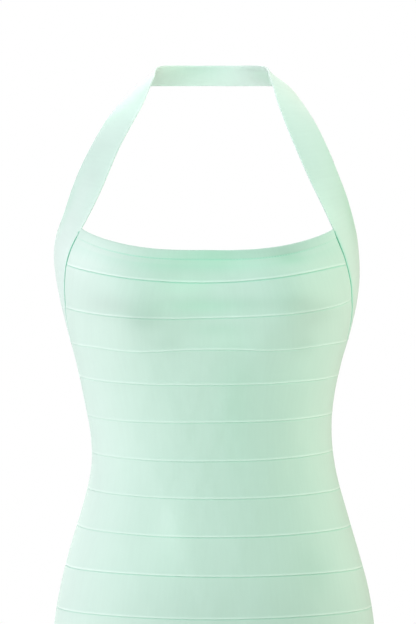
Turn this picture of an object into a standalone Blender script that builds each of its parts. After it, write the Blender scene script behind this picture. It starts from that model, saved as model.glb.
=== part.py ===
"""Halter-neck bodycon dress of sewn knit bands, worn and hollow.

Front bands, back bands and one halter strap are separate walls of cloth, laid on one smooth figure.
The figure is a stack of rounded sections. A place on it is an angle round the body and a height.
Angle 0 is the centre front, plus or minus 90 degrees are the side seams and 180 is the centre back.
Heights are measured up from the hem, in millimetres. The dress faces -Y and its left side is +X.
"""

import bpy
import numpy as np

MM = 0.001

# Cloth, in millimetres.
WALL = 1.8  # thickness of the bandage knit
SEAM_GAP = 0.3  # left between two sewn pieces
FRONT_COLUMNS = 24  # facets round each front band
BACK_COLUMNS = 24
STRAP_COLUMNS = 3  # facets across the strap
BANDS_ON_STRAP = 3  # front bands whose ends are sewn to the strap
ROWS_BESIDE_STRAP = 3  # facets up a band that meets the strap's curved edge

# The figure: a level section for each height, all in millimetres. Lean moves a section to the wearer's
# left and middle moves it back, front and back are its depths from there, squareness is the power of its
# rounded outline (2 is an ellipse), and fullness is how far the bust cups stand out of it.
SECTION_NAMES = ("height", "half_width", "lean", "middle", "front", "back", "squareness", "fullness")
SECTIONS = (
    (0, 150, 2, 0, 104, 110, 2.3, 0),
    (90, 156, 2, 0, 107, 116, 2.3, 0),
    (180, 164, 2, 0, 112, 127, 2.3, 0),
    (250, 167.5, 2, 0, 115, 132, 2.3, 0),
    (305, 161.3, 2, 0, 113, 127, 2.3, 0),
    (355, 149.5, 2, 0, 105, 113, 2.35, 0),
    (405, 134.4, 2, 0, 96, 99, 2.35, 0),
    (460, 124.1, 0, 0, 90, 91, 2.35, 0),
    (510, 128, -3, 0, 95, 92, 2.4, 0),
    (570, 141.8, -3, 0, 110, 97, 2.5, 3),
    (612, 152, -3.5, 0, 121, 101, 2.5, 10),
    (640, 156, -4.7, 0, 119, 102, 2.5, 8),
    (670, 157, -6, 0, 112, 102, 2.5, 2),
    (700, 154, -4.6, 0, 100, 102, 2.45, 0),
    (735, 148, -4.2, 2, 80, 102, 2.4, 0),
    (770, 138.5, -4, 5, 62, 101, 2.35, 0),
    (800, 115.5, -2.4, 10, 50, 98, 2.3, 0),
    (820, 92.5, -0.7, 14, 45, 90, 2.2, 0),
    (837, 76, 0, 17, 43, 76, 2.1, 0),
    (849, 60.5, 0, 18, 42, 64, 2, 0),
    (862, 57, 0, 18, 42, 57, 2, 0),
)
CUP_ANGLE = 35  # degrees from the centre front to the middle of each cup
CUP_SPREAD = 17  # degrees over which a cup fades

# Seams between bands, from the top: height at the side seam and at the centre, the power of the rise to
# the side, which is flatter at the centre the greater it is, and how far the seam dips under each cup.
FRONT_SEAMS = (
    ("neckline", 698.8, 669.6, 3.6, 0),
    ("chest", 656.5, 637, 2.3, 0),
    ("bust", 613, 601.1, 3, 0),
    ("under_bust", 572.7, 568.7, 4, 2.6),
    ("ribs", 538, 532.4, 4, 0),
    ("upper_waist", 498.5, 494.2, 5, 0),
    ("waist", 460, 454.5, 3.5, 0),
    ("lower_waist", 420.8, 416.2, 3, 0),
    ("belly", 383.8, 378.1, 3, 0),
    ("hip_bone", 341.5, 338.4, 2, 0),
    ("hip", 299, 295.6, 2, 0),
)
BACK_SEAMS = (
    ("back_top", 632, 606, 2, 0),
    ("under_blades", 572.7, 561, 2, 0),
    ("ribs", 538, 529, 2, 0),
    ("upper_waist", 498.5, 491.5, 2, 0),
    ("waist", 460, 455.5, 2, 0),
    ("lower_waist", 420.8, 418, 2, 0),
    ("belly", 383.8, 381, 2, 0),
    ("hip_bone", 341.5, 339.5, 2, 0),
    ("hip", 299, 297, 2, 0),
)
SKIRT_BANDS = 7  # equal bands from the hip seam down to the hem

# The halter strap, from its lower end on the under-bust seam, up beside the front bands and round the
# nape: height and angle of its inner and outer edges. Its outer edge is on the side seam up to the underarm.
STRAP_NAMES = ("inner_height", "inner_angle", "outer_height", "outer_angle")
STRAP = (
    (615, 73, 632, 90),  # underarm
    (654, 66.6, 673, 82),
    (687.6, 61.2, 700, 76.3),  # corner of the neckline
    (715, 60.2, 722, 74.6),
    (745, 60.2, 750, 74.4),
    (775, 61.4, 778.5, 75.2),
    (803, 62.8, 803, 79),
    (822, 64.7, 817, 84.5),  # over the shoulder
    (838, 68, 825, 88.5),
    (848, 78, 829, 93.5),
    (853, 92, 832, 103),
    (855, 106, 834, 112.5),
    (856, 125, 835, 127.5),
    (856, 150, 835, 151),
    (856, 180, 835, 180),  # nape
)
STRAP_END_ANGLE = 81.5  # of the inner edge, on the under-bust seam
CORNER_ROW = 2  # of the strap's table
FREE_STEPS = 2  # facets of the strap for each row of its table above the corner

# The origin is where the nape holds the strap: its inner face at the centre back, half way up.
NAPE_HEIGHT = 845.5

MINT = (0.62, 0.86, 0.74, 1.0)
STRAP_MINT = (0.66, 0.88, 0.78, 1.0)
KNIT_ROUGHNESS = 0.85


def smooth(places, known_places, known_values):
    """The natural cubic spline through the known values, read at places."""
    xs = np.asarray(known_places, float)
    ys = np.asarray(known_values, float)
    x = np.asarray(places, float)
    gaps = np.diff(xs)
    slopes = np.diff(ys) / gaps
    system = np.eye(len(xs))
    right = np.zeros(len(xs))
    for i in range(1, len(xs) - 1):
        system[i, i - 1 : i + 2] = gaps[i - 1], 2 * (gaps[i - 1] + gaps[i]), gaps[i]
        right[i] = 6 * (slopes[i] - slopes[i - 1])
    bends = np.linalg.solve(system, right)
    k = np.clip(np.searchsorted(xs, x) - 1, 0, len(xs) - 2)
    left, ahead, gap = x - xs[k], xs[k + 1] - x, gaps[k]
    curved = (bends[k] * ahead**3 + bends[k + 1] * left**3) / (6 * gap)
    straight = (ys[k] / gap - bends[k] * gap / 6) * ahead + (ys[k + 1] / gap - bends[k + 1] * gap / 6) * left
    return curved + straight


def figure_point(angle, height):
    """The figure's surface at angles in radians and heights in millimetres."""
    columns = dict(zip(SECTION_NAMES, zip(*SECTIONS)))
    at = {name: smooth(height, columns["height"], columns[name]) for name in SECTION_NAMES[1:]}
    sine, cosine = np.sin(angle), np.cos(angle)
    depth = np.where(cosine > 0, at["front"], at["back"])
    power = at["squareness"]
    radius = (np.abs(sine / at["half_width"]) ** power + np.abs(cosine / depth) ** power) ** (-1 / power)
    from_cup = (np.degrees(np.arctan2(np.abs(sine), cosine)) - CUP_ANGLE) / CUP_SPREAD
    radius = radius + np.maximum(at["fullness"], 0) * np.exp(-(from_cup**2))
    x = at["lean"] + radius * sine
    y = at["middle"] - radius * cosine
    return np.stack([x, y, height + 0 * radius], axis=-1)


def figure_normal(angle, height):
    """Unit normals out of the figure, from small steps along its surface."""
    turn, rise = 1e-4, 0.05
    round_it = figure_point(angle + turn, height) - figure_point(angle - turn, height)
    up_it = figure_point(angle, height + rise) - figure_point(angle, height - rise)
    normal = np.cross(round_it, up_it)
    return normal / np.linalg.norm(normal, axis=-1, keepdims=True)


def angle_step(angle, height, distance):
    """The turn that moves a point by a distance round the figure."""
    step = 1e-4
    moved = figure_point(angle + step, height) - figure_point(angle - step, height)
    return distance * 2 * step / np.linalg.norm(moved, axis=-1)


def knit_material(name, color):
    material = bpy.data.materials.new(name)
    material.use_nodes = True
    shader = material.node_tree.nodes["Principled BSDF"]
    shader.inputs["Base Color"].default_value = color
    shader.inputs["Roughness"].default_value = KNIT_ROUGHNESS
    shader.inputs["Metallic"].default_value = 0.0
    return material


def wall_faces(rows, columns):
    """Quads of a closed wall: an outer grid, an inner grid and the four edges between them."""
    index = np.arange(rows * columns).reshape(rows, columns)
    inner = index + rows * columns
    faces = []
    for grid, outward in ((index, True), (inner, False)):
        quads = np.stack([grid[:-1, :-1], grid[:-1, 1:], grid[1:, 1:], grid[1:, :-1]], axis=-1).reshape(-1, 4)
        faces += (quads if outward else quads[:, ::-1]).tolist()
    rim = [*index[0, :-1], *index[:-1, -1], *index[-1, :0:-1], *index[:0:-1, 0]]
    rim_inner = [corner + rows * columns for corner in rim]
    for k in range(len(rim)):
        after = (k + 1) % len(rim)
        faces.append([int(rim[after]), int(rim[k]), int(rim_inner[k]), int(rim_inner[after])])
    return faces


def add_wall(name, angles, heights, color):
    """A wall of cloth on a grid of the figure's places, rows going up and columns to the wearer's left."""
    outer = figure_point(angles, heights)
    inner = outer - WALL * figure_normal(angles, heights)
    corners = np.concatenate([outer.reshape(-1, 3), inner.reshape(-1, 3)]) * MM - ORIGIN
    mesh = bpy.data.meshes.new(name)
    mesh.from_pydata(corners.tolist(), [], wall_faces(*angles.shape))
    mesh.update()
    mesh.materials.append(knit_material(name, color))
    piece = bpy.data.objects.new(name, mesh)
    bpy.context.scene.collection.objects.link(piece)
    return piece


def with_skirt(seams):
    """Side, centre, power and dip of all seams, with the skirt's equal bands added down to the hem."""
    rows = [row[1:] for row in seams]
    side, centre, power, dip = rows[-1]
    for k in range(SKIRT_BANDS - 1, -1, -1):
        share = k / SKIRT_BANDS
        rows.append((side * share, centre * share, power, dip))
    return rows


def seam_height(seam, turn):
    """Height of a seam at a turn in radians from the middle of the front or of the back."""
    side, centre, power, dip = seam
    rise = (side - centre) * np.abs(np.sin(turn)) ** power
    from_cup = (np.degrees(np.abs(turn)) - CUP_ANGLE) / CUP_SPREAD
    return centre + rise - dip * np.exp(-(from_cup**2))


def strap_edges(row):
    """Angle in radians and height of the strap's inner edge, then of its outer one, along its table."""
    count = np.arange(len(STRAP))
    columns = dict(zip(STRAP_NAMES, zip(*STRAP)))
    at = {name: smooth(row, count, columns[name]) for name in STRAP_NAMES}
    inner_angle, outer_angle = np.radians(at["inner_angle"]), np.radians(at["outer_angle"])
    return inner_angle, at["inner_height"], outer_angle, at["outer_height"]


def armhole_angle(height):
    """Angle of the seam between the strap and the front bands, at heights up to the neckline's corner."""
    rows = np.linspace(0, CORNER_ROW, 60)
    angles, heights, _, _ = strap_edges(rows)
    end_height = FRONT_SEAMS[BANDS_ON_STRAP][1]
    heights = np.concatenate([[end_height], heights])
    angles = np.concatenate([[np.radians(STRAP_END_ANGLE)], angles])
    return np.interp(height, heights, angles)


def band_end(lower, upper, share):
    """Angle and height where a line across a band, at a share of its width, meets the strap."""
    angle = np.radians(STRAP_END_ANGLE)
    for _ in range(40):
        below = seam_height(lower, angle)
        above = seam_height(upper, angle)
        height = below + (above - below) * share
        angle = armhole_angle(height)
    return angle, height


def add_band(name, lower, upper, ends, columns, centre, gap_below, gap_above):
    """A band between two seams. Ends holds, for each row, its share of the width and the angle to its end."""
    across = np.linspace(-1, 1, columns + 1)
    angles, heights = [], []
    for share, end in ends:
        turn = across * end
        below = seam_height(lower, turn) + gap_below
        above = seam_height(upper, turn) - gap_above
        angles.append(centre + turn)
        heights.append(below + (above - below) * share)
    add_wall(name, np.array(angles), np.array(heights), MINT)


def add_front_bands(seams):
    half_gap = SEAM_GAP / 2
    for k in range(len(seams) - 1):
        upper, lower = seams[k], seams[k + 1]
        on_strap = k < BANDS_ON_STRAP
        shares = np.linspace(0, 1, ROWS_BESIDE_STRAP + 1) if on_strap else (0, 1)
        ends = []
        for share in shares:
            if on_strap:
                angle, height = band_end(lower, upper, share)
            else:
                angle, height = np.pi / 2, lower[0] + (upper[0] - lower[0]) * share
            ends.append((share, angle - angle_step(angle, height, half_gap)))
        gap_above = half_gap if k else 0
        gap_below = half_gap if k < len(seams) - 2 else 0
        name = f"front_band_{k + 1:02d}"
        add_band(name, lower, upper, ends, FRONT_COLUMNS, 0, gap_below, gap_above)


def add_back_bands(seams):
    half_gap = SEAM_GAP / 2
    for k in range(len(seams) - 1):
        upper, lower = seams[k], seams[k + 1]
        shares = np.linspace(0, 1, ROWS_BESIDE_STRAP + 1) if k == 0 else (0, 1)
        ends = []
        for share in shares:
            height = lower[0] + (upper[0] - lower[0]) * share
            ends.append((share, np.pi / 2 - angle_step(np.pi / 2, height, half_gap)))
        gap_above = half_gap if k else 0
        gap_below = half_gap if k < len(seams) - 2 else 0
        name = f"back_band_{k + 1:02d}"
        add_band(name, lower, upper, ends, BACK_COLUMNS, np.pi, gap_below, gap_above)


def strap_rows(front):
    """Both edges of the strap on the wearer's left, from its lower end to the nape, as one row each."""
    half_gap = SEAM_GAP / 2
    rows = []
    for k in range(BANDS_ON_STRAP - 1, -1, -1):
        shares = np.linspace(0, 1, ROWS_BESIDE_STRAP + 1)[1 if rows else 0 :]
        for share in shares:
            angle, height = band_end(front[k + 1], front[k], share)
            if k == BANDS_ON_STRAP - 1:
                outer_angle = np.pi / 2
                outer_height = front[k + 1][0] + (STRAP[0][2] - front[k + 1][0]) * share
            else:
                place = BANDS_ON_STRAP - 2 - k + share
                _, _, outer_angle, outer_height = (float(value) for value in strap_edges(place))
            rows.append([angle, height, outer_angle, outer_height])
    places = np.linspace(CORNER_ROW, len(STRAP) - 1, (len(STRAP) - 1 - CORNER_ROW) * FREE_STEPS + 1)[1:]
    rows += [list(row) for row in zip(*strap_edges(places))]
    rows = np.array(rows)
    rows[0, [1, 3]] += half_gap
    beside_bands = BANDS_ON_STRAP * ROWS_BESIDE_STRAP + 1
    for k in range(beside_bands):
        rows[k, 0] += angle_step(rows[k, 0], rows[k, 1], half_gap)
    for k in range(ROWS_BESIDE_STRAP + 1):
        rows[k, 2] -= angle_step(rows[k, 2], rows[k, 3], half_gap)
    return rows


def add_strap(front):
    """The halter strap, one length of cloth from one side seam round the nape to the other."""
    left = strap_rows(front)
    right = left[-2::-1] * (-1, 1, -1, 1) + (2 * np.pi, 0, 2 * np.pi, 0)
    edges = np.concatenate([left, right])
    across = np.linspace(0, 1, STRAP_COLUMNS + 1)
    angles = edges[:, [0]] * (1 - across) + edges[:, [2]] * across
    heights = edges[:, [1]] * (1 - across) + edges[:, [3]] * across
    add_wall("halter_strap", angles, heights, STRAP_MINT)


for old in list(bpy.data.objects):
    bpy.data.objects.remove(old, do_unlink=True)

nape = np.array(np.pi), np.array(NAPE_HEIGHT)
ORIGIN = (figure_point(*nape) - WALL * figure_normal(*nape)) * MM

front_seams = with_skirt(FRONT_SEAMS)
back_seams = with_skirt(BACK_SEAMS)
add_front_bands(front_seams)
add_back_bands(back_seams)
add_strap(front_seams)
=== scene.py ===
import bpy
import numpy as np
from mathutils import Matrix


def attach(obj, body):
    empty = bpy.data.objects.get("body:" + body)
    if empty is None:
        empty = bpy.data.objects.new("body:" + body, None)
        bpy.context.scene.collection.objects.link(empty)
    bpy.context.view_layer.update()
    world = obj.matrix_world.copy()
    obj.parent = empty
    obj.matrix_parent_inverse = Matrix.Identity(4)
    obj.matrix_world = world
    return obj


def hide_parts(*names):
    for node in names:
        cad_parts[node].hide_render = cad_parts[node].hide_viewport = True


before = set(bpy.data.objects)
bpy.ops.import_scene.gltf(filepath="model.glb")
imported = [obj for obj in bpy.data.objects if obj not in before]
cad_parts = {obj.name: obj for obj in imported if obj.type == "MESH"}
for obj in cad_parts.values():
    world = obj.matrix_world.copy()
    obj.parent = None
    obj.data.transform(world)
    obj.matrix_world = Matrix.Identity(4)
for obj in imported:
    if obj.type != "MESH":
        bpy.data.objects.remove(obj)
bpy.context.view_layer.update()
mm = 0.001
print("frame loaded:", len(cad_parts), "nodes")

# the camera looks level at the chest, turned down a little, through a long lens
shot = {
    "target": (-0.0042, -0.0835, -0.2422),
    "distance": 5.5,
    "down": 2.5,  # degrees
    "heightSeen": 0.6427,
    "sensor": 36,
    "farthest": 100,
}


def addCamera(shot):
    # the lens is as long as the height seen at the target asks for: sensor times distance over that height.
    down = np.radians(shot["down"])
    away = np.array([0, -np.cos(down), np.sin(down)])
    lens = bpy.data.cameras.new("camera")
    lens.sensor_fit = "VERTICAL"
    lens.sensor_height = shot["sensor"]
    lens.lens = shot["sensor"] * shot["distance"] / shot["heightSeen"]
    lens.clip_end = shot["farthest"]
    camera = bpy.data.objects.new("camera", lens)
    camera.location = np.array(shot["target"]) + away * shot["distance"]
    camera.rotation_euler = (np.pi / 2 - down, 0, 0)
    bpy.context.scene.collection.objects.link(camera)
    bpy.context.scene.camera = camera


addCamera(shot)
print("camera placed")

# soft boxes round the dress: turn from the front in degrees (plus is towards the wearer's left), lift in degrees,
# distance and side length in metres, power in watts, colour
lights = {
    "leftBox": {"turn": -70, "lift": -12, "distance": 2.6, "size": 1.2, "power": 59.4, "color": (1.0, 0.85, 0.96)},
    "rightBox": {"turn": 90, "lift": 5, "distance": 2.4, "size": 1.4, "power": 33.6, "color": (1.0, 0.72, 0.66)},
    "frontBox": {"turn": 30, "lift": 22, "distance": 1.8, "size": 1.2, "power": 19.6, "color": (0.82, 1.0, 0.94)},
    "topBox": {"turn": -60, "lift": 60, "distance": 1.8, "size": 1.2, "power": 13.6, "color": (1.0, 0.76, 0.95)},
    "backBox": {"turn": 196, "lift": 44, "distance": 2.6, "size": 1.2, "power": 60, "color": (1.0, 0.93, 0.93)},
}
surroundings = {"color": (0.97, 1.0, 0.88), "strength": 0.2, "backdrop": (1.0, 1.0, 1.0)}


def addLights(lights, around):
    # each soft box stands on a ring round the middle of what shows and faces it.
    for name, box in lights.items():
        turn, lift = np.radians(box["turn"]), np.radians(box["lift"])
        away = np.array([np.sin(turn) * np.cos(lift), -np.cos(turn) * np.cos(lift), np.sin(lift)])
        lamp = bpy.data.lights.new(name, "AREA")
        lamp.shape = "SQUARE"
        lamp.size = box["size"]
        lamp.energy = box["power"]
        lamp.color = box["color"]
        holder = bpy.data.objects.new(name, lamp)
        holder.location = np.array(around) + away * box["distance"]
        holder.rotation_euler = (np.pi / 2 - lift, 0, turn)
        holder.visible_camera = False
        bpy.context.scene.collection.objects.link(holder)


def addSurroundings(look):
    # an even soft light from all round, with a plain white backdrop behind the dress.
    world = bpy.data.worlds.new("studio")
    world.use_nodes = True
    tree = world.node_tree
    tree.nodes.clear()
    out = tree.nodes.new("ShaderNodeOutputWorld")
    mix = tree.nodes.new("ShaderNodeMixShader")
    light = tree.nodes.new("ShaderNodeBackground")
    backdrop = tree.nodes.new("ShaderNodeBackground")
    path = tree.nodes.new("ShaderNodeLightPath")
    light.inputs["Color"].default_value = (*look["color"], 1)
    light.inputs["Strength"].default_value = look["strength"]
    backdrop.inputs["Color"].default_value = (*look["backdrop"], 1)
    tree.links.new(path.outputs["Is Camera Ray"], mix.inputs[0])
    tree.links.new(light.outputs[0], mix.inputs[1])
    tree.links.new(backdrop.outputs[0], mix.inputs[2])
    tree.links.new(mix.outputs[0], out.inputs[0])
    bpy.context.scene.world = world


addLights(lights, shot["target"])
addSurroundings(surroundings)
bpy.context.scene.view_settings.view_transform = "Standard"
bpy.context.scene.view_settings.look = "None"
bpy.context.scene.view_settings.exposure = 0
bpy.context.scene.view_settings.gamma = 1
print("lights placed:", len(lights))

# the figure: a rounded level section for each height above the hem, in millimetres
figure = {
    "columns": ("height", "halfWidth", "lean", "middle", "front", "back", "squareness", "fullness"),
    "sections": (
        (0, 150, 2, 0, 104, 110, 2.3, 0),
        (90, 156, 2, 0, 107, 116, 2.3, 0),
        (180, 164, 2, 0, 112, 127, 2.3, 0),
        (250, 167.5, 2, 0, 115, 132, 2.3, 0),
        (305, 161.3, 2, 0, 113, 127, 2.3, 0),
        (355, 149.5, 2, 0, 105, 113, 2.35, 0),
        (405, 134.4, 2, 0, 96, 99, 2.35, 0),
        (460, 124.1, 0, 0, 90, 91, 2.35, 0),
        (510, 128, -3, 0, 95, 92, 2.4, 0),
        (570, 141.8, -3, 0, 110, 97, 2.5, 3),
        (612, 152, -3.5, 0, 121, 101, 2.5, 10),
        (640, 156, -4.7, 0, 119, 102, 2.5, 8),
        (670, 157, -6, 0, 112, 102, 2.5, 2),
        (700, 154, -4.6, 0, 100, 102, 2.45, 0),
        (735, 148, -3.9, 2, 80, 102, 2.4, 0),
        (770, 138.5, -4.3, 5, 62, 101, 2.35, 0),
        (800, 115.5, -2.6, 10, 50, 98, 2.3, 0),
        (820, 92.5, -0.7, 14, 45, 90, 2.2, 0),
        (837, 76, 0, 17, 43, 76, 2.1, 0),
        (849, 60.5, 0, 18, 42, 64, 2, 0),
        (862, 57, 0, 18, 42, 57, 2, 0),
    ),
    "cupAngle": 35,
    "cupSpread": 17,
    "napeHeight": 845.5,
    "napeWall": 1.8,
}


def smoothCurve(places, knownPlaces, knownValues):
    # the natural cubic spline through the known values: its bends solve one equation for each inner place.
    xs, ys, x = (np.asarray(values, float) for values in (knownPlaces, knownValues, places))
    gaps = np.diff(xs)
    slopes = np.diff(ys) / gaps
    inner = np.arange(1, len(xs) - 1)
    system = np.eye(len(xs))
    system[inner, inner - 1] = gaps[:-1]
    system[inner, inner] = 2 * (gaps[:-1] + gaps[1:])
    system[inner, inner + 1] = gaps[1:]
    right = np.zeros(len(xs))
    right[1:-1] = 6 * np.diff(slopes)
    bends = np.linalg.solve(system, right)
    k = np.clip(np.searchsorted(xs, x) - 1, 0, len(xs) - 2)
    done, ahead, gap = x - xs[k], xs[k + 1] - x, gaps[k]
    curved = (bends[k] * ahead**3 + bends[k + 1] * done**3) / (6 * gap)
    return curved + (ys[k] / gap - bends[k] * gap / 6) * ahead + (ys[k + 1] / gap - bends[k + 1] * gap / 6) * done


def cupShare(angle):
    # how far a place lies within a bust cup: a bell curve round the cup's angle on each side.
    turn = np.degrees(np.arctan2(np.abs(np.sin(angle)), np.cos(angle)))
    return np.exp(-(((turn - figure["cupAngle"]) / figure["cupSpread"]) ** 2))


def figurePoint(angle, height):
    # a superellipse at each height, |x/width|^p + |y/depth|^p = 1, with the cups added to its radius.
    known = np.array(figure["sections"], float)
    at = {name: smoothCurve(height, known[:, 0], known[:, k]) for k, name in enumerate(figure["columns"]) if k}
    sine, cosine = np.sin(angle), np.cos(angle)
    depth = np.where(cosine > 0, at["front"], at["back"])
    power = at["squareness"]
    radius = (np.abs(sine / at["halfWidth"]) ** power + np.abs(cosine / depth) ** power) ** (-1 / power)
    radius = radius + np.maximum(at["fullness"], 0) * cupShare(angle)
    return np.stack([at["lean"] + radius * sine, at["middle"] - radius * cosine, height + 0 * radius], axis=-1)


def figureNormal(angle, height):
    # the unit normal: small steps round and up the surface, crossed.
    turn, rise = 1e-4, 0.05
    roundIt = figurePoint(angle + turn, height) - figurePoint(angle - turn, height)
    upIt = figurePoint(angle, height + rise) - figurePoint(angle, height - rise)
    normal = np.cross(roundIt, upIt)
    return normal / np.linalg.norm(normal, axis=-1, keepdims=True)


def turnFor(angle, height, distance):
    # the angle that a distance round the figure takes at a place, in millimetres over millimetres a radian.
    step = 1e-4
    moved = figurePoint(angle + step, height) - figurePoint(angle - step, height)
    return distance * 2 * step / np.linalg.norm(moved, axis=-1)


nape = np.array(np.pi), np.array(float(figure["napeHeight"]))
origin = (figurePoint(*nape) - figure["napeWall"] * figureNormal(*nape)) * mm

# the cloth's own shape on the figure, in millimetres
drape = {
    # slow waves: depth, waves round the figure, wave height, shift
    "waves": (
        (0.22, 7, 173, 0.4),
        (0.18, 11, 119, 2.1),
        (0.14, 16, 87, 4.4),
        (0.10, 23, 61, 1.2),
        (0.06, 37, 41, 5.3),
    ),
    "calmFrom": 690,  # height from which the waves grow calmer, over how much height, and by how much
    "calmOver": 40,
    "calmShare": 0.6,
    # soft creases: angle, height, half length, half width, depth, slant in mm of height for each mm round
    "creases": (
        (168, 452, 42, 7, -1.8, 0.05),
        (194, 438, 55, 8, -2.1, -0.04),
        (181, 474, 34, 6, -1.3, 0.02),
        (205, 468, 26, 6, -0.9, 0.10),
        (153, 474, 28, 6, -1.1, -0.08),
        (112, 448, 30, 7, -1.0, 0.18),
        (247, 452, 34, 7, -1.1, -0.15),
        (120, 600, 26, 7, -1.1, 0.5),
        (241, 596, 30, 7, -1.2, -0.45),
        (97, 560, 22, 6, -0.5, 0.3),
        (262, 556, 20, 6, -0.5, -0.3),
    ),
    "girthRadius": 110,  # turns the creases' angles into mm round
}


def turnFrom(angle, place):
    # how far an angle lies from a place in degrees, the short way round, in radians.
    return np.mod(angle - np.radians(place) + np.pi, 2 * np.pi) - np.pi


def relief(angle, height):
    # how far the cloth stands off the figure: a sum of slow sine waves and of long bell-shaped creases.
    out = 0 * angle
    calm = 1 - drape["calmShare"] * np.clip((height - drape["calmFrom"]) / drape["calmOver"], 0, 1)
    for depth, count, tall, shift in drape["waves"]:
        out = out + calm * depth * np.sin(count * angle + shift) * np.sin(2 * np.pi * height / tall + 1.7 * shift)
    for place, level, halfLength, halfWidth, depth, slant in drape["creases"]:
        around = turnFrom(angle, place) * drape["girthRadius"]
        across = height - level - slant * around
        out = out + depth * np.exp(-((around / halfLength) ** 2)) * np.exp(-((across / halfWidth) ** 2))
    return out


# soft places where the knit is painted greener or paler, with painted light and shade: angle, height, half angle,
# half height, how much greener (below 0 paler), and how much painted light it gains (below 0 painted shade)
paintedPatchEdge = 1.4  # how steeply they fade
paintedShadingPatches = (
    (2, 662, 27, 17, 0.8, 0.03),
    (-56, 662, 16, 24, -0.8, -0.03),
    (-77, 745, 7, 45, 0.25, -0.04),
    (-58, 735, 8, 60, 0.1, 0.03),
    (-82, 812, 16, 26, 1.0, 0.06),
    (-62, 812, 12, 22, 0.2, 0.08),
    (66, 800, 12, 35, 0.1, 0.03),
    (115, 846, 25, 16, 1.0, 0.10),
    (60, 712, 6, 30, -0.1, 0.07),
    (77, 705, 7, 30, 0.25, -0.05),
    (77, 760, 6, 35, 0.2, -0.03),
    (180, 846, 60, 14, 0.25, 0.08),
    (-10, 634, 17, 10, 0.3, 0.10),
    (-42, 614, 15, 15, 0.0, -0.10),
    (15, 616, 24, 9, 0.1, -0.07),
    (-2, 613, 22, 10, 0.45, 0.05),
    (28, 656, 22, 12, 0.0, 0.045),
    (38, 616, 8, 12, 0.0, -0.06),
    (-28, 604, 10, 16, 0.1, -0.06),
    (50, 606, 10, 16, 0.05, -0.07),
    (7, 577, 20, 11, 0.1, 0.05),
    (-24, 380, 13, 50, -0.1, 0.06),
    (46, 555, 14, 40, 0.0, 0.04),
    (0, 300, 400, 35, 0.0, -0.04),
    (-24, 655, 14, 12, 0.2, 0.01),
    (38, 665, 9, 10, 0.0, -0.05),
    (38, 661, 8, 7, 0.45, -0.02),
    (-12, 626, 12, 8, 0.0, 0.045),
    (15, 515, 13, 75, 0.2, -0.01),
    (-30, 400, 10, 35, -0.2, -0.01),
    (49, 345, 10, 30, 0.1, -0.035),
    (-31, 596, 8, 14, 0.05, -0.05),
    (-70, 765, 8, 25, 0.15, -0.05),
    (75, 745, 7, 40, 0.1, -0.03),
    (-76, 712, 5, 40, 0.35, -0.01),
    (76, 700, 5, 32, 0.2, -0.02),
    (43, 600, 7, 32, -0.03, -0.045),
    (5, 590, 16, 8, 0.22, 0.0),
    (-24, 575, 9, 9, 0.05, -0.035),
    (-66, 828, 8, 14, 0.5, -0.04),
    (-66, 742, 5, 14, 0.0, -0.05),
    (-78, 660, 6, 25, 0.0, -0.03),
    (76, 680, 6, 28, 0.0, -0.03),
    (46, 572, 7, 12, 0.05, -0.05),
)


def paintedShadingPatchShare(angle, height):
    # sums of bell-shaped patches round their middles: how much greener, how much painted light (below 0 painted
    # shade), and nothing.
    greener, paintedLightAndShadeSum = 0 * angle, 0 * angle
    for place, level, halfAngle, halfHeight, green, paintedLightAndShade in paintedShadingPatches:
        turn = np.degrees(turnFrom(angle, place))
        bell = np.exp(-((turn / halfAngle) ** 2) * paintedPatchEdge - ((height - level) / halfHeight) ** 2 * paintedPatchEdge)
        greener, paintedLightAndShadeSum = greener + green * bell, paintedLightAndShadeSum + paintedLightAndShade * bell
    return np.stack([greener, paintedLightAndShadeSum, 0 * angle], -1)


def clothPoint(angle, height, out):
    # a point of the cloth in metres: the figure's point moved along its normal.
    stand = (out + relief(angle, height))[..., None]
    return (figurePoint(angle, height) + stand * figureNormal(angle, height)) * mm - origin


def blend(first, second, share):
    # first where the share is 0, second where it is 1, and in proportion between.
    return first * (1 - share) + second * share


def walked(path):
    # the length walked along a line of points up to each of them, in millimetres.
    return np.concatenate([[0], np.cumsum(np.linalg.norm(np.diff(path, axis=0), axis=-1))]) / mm


def addPiece(name, mesh, material):
    # a mesh as a named object at the origin, with its material.
    mesh.materials.append(material)
    piece = bpy.data.objects.new(name, mesh)
    bpy.context.scene.collection.objects.link(piece)
    return piece


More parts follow.
